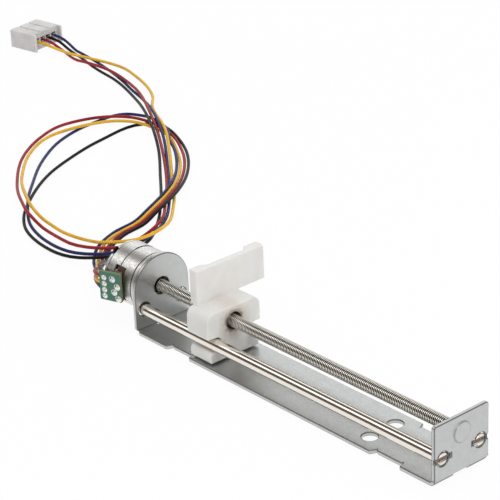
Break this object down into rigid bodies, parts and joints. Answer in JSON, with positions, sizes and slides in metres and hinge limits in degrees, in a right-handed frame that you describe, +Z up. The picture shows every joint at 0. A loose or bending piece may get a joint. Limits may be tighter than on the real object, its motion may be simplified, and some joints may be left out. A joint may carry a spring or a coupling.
{
  "type": "stepper motor linear slide",
  "caption": "Small stepper motor linear slide: a bent sheet bracket carries guide rods and a lead screw that drives a plastic slider with an upright arm.",
  "frame": {"origin": "middle of the bracket's underside, halfway between the outer faces of its two upright plates", "axes": "+X along the rods from the motor to the end plate, +Z up through the rods to the lead screw, +Y towards the side that the slider's arm reaches out over"},
  "size_m": [0.2899, 0.1154, 0.0227],
  "materials": {
    "zinc_sheet": "satin zinc-plated sheet",
    "drawn_steel": "satin drawn steel can",
    "polished_steel": "ground and polished steel",
    "screw_steel": "rolled screw steel with a film of grease",
    "spring_steel": "bare spring steel",
    "white_acetal": "moulded white acetal",
    "bobbin_resin": "dark brown moulded resin",
    "black_magnet": "black bonded magnet",
    "bronze": "sintered bronze",
    "copper_wire": "enamelled copper wire",
    "green_laminate": "green solder resist on glass laminate",
    "solder": "bright solder",
    "blue_insulation": "dark blue wire insulation",
    "yellow_insulation": "yellow wire insulation",
    "red_insulation": "red wire insulation",
    "black_insulation": "black wire insulation",
    "connector_nylon": "natural white nylon",
    "tinned_brass": "tin-plated brass"
  },
  "bodies": {
    "frame": {"bracket": "zinc_sheet", "guide_rod_near": "polished_steel", "guide_rod_far": "polished_steel", "pivot_seat": "white_acetal", "pivot_ball": "polished_steel", "motor_front_flange": "drawn_steel", "motor_front_cup": "drawn_steel", "motor_rear_cup": "drawn_steel", "motor_end_cap": "drawn_steel", "front_yoke": "drawn_steel", "rear_yoke": "drawn_steel", "front_bobbin": "bobbin_resin", "rear_bobbin": "bobbin_resin", "front_winding": "copper_wire", "rear_winding": "copper_wire", "front_bearing": "bronze", "rear_bearing": "bronze", "preload_spring": "spring_steel", "terminal_block": "bobbin_resin", "circuit_board": "green_laminate", "terminal_pin_1": "solder", "terminal_pin_2": "solder", "terminal_pin_3": "solder", "terminal_pin_4": "solder", "wire_joint_1": "solder", "wire_joint_2": "solder", "wire_joint_3": "solder", "wire_joint_4": "solder", "wire_blue": "blue_insulation", "wire_yellow": "yellow_insulation", "wire_red": "red_insulation", "wire_black": "black_insulation", "connector_housing": "connector_nylon", "connector_contact_1": "tinned_brass", "connector_contact_2": "tinned_brass", "connector_contact_3": "tinned_brass", "connector_contact_4": "tinned_brass"},
    "rotor": {"lead_screw": "screw_steel", "rotor_magnet": "black_magnet"},
    "carriage": {"slider": "white_acetal"}
  },
  "joints": [
    {"name": "screw_turn", "type": "hinge", "parent": "frame", "child": "rotor", "pos_m": [0, 0, 0.01028], "axis": [1, 0, 0], "range_deg": [-50112, 12384]},
    {"name": "slider_travel", "type": "slide", "parent": "frame", "child": "carriage", "axis": [1, 0, 0], "range_m": [-0.0172, 0.0696]}
  ],
  "couplings": [
    {"joint": "screw_turn", "follows": "slider_travel", "rad_per_m": -12566}
  ]
}
